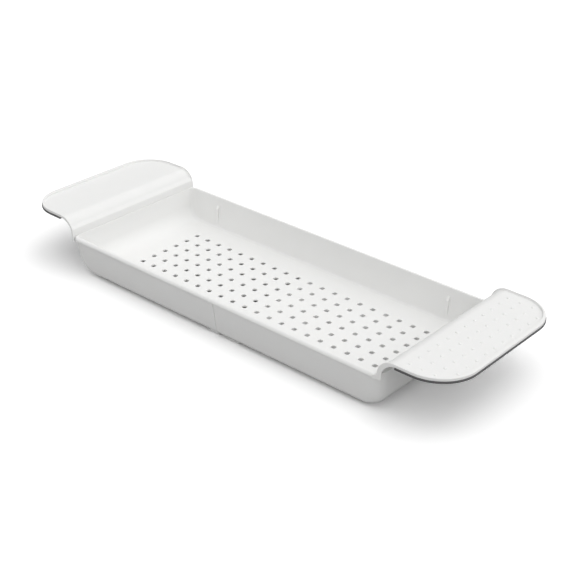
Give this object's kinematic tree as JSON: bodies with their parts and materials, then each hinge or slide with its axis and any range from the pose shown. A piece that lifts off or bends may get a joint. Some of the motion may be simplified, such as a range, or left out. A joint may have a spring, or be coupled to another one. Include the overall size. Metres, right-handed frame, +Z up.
{
  "type": "bath caddy",
  "caption": "White plastic tray that bridges a bath: a perforated basin with a flat wing at each end, its left part sliding out from under the right to suit the bath's width.",
  "frame": {"origin": "middle of the closed caddy's bounding box, at the level of the feet that it stands on", "axes": "+X along the caddy towards the main tray's wing, +Y across it, +Z up"},
  "size_m": [0.563, 0.1856, 0.0629],
  "materials": {
    "white_plastic": "satin moulded plastic",
    "strap_plastic": "satin moulded plastic",
    "grey_rubber": "matt rubber"
  },
  "bodies": {
    "main": {"main_tray": "white_plastic", "guide_strap": "strap_plastic", "right_grip_pad": "grey_rubber"},
    "slider": {"sliding_tray": "white_plastic", "left_grip_pad": "grey_rubber"}
  },
  "joints": [
    {"name": "tray_slide", "type": "slide", "parent": "main", "child": "slider", "axis": [-1, 0, 0], "range_m": [0, 0.155]}
  ]
}
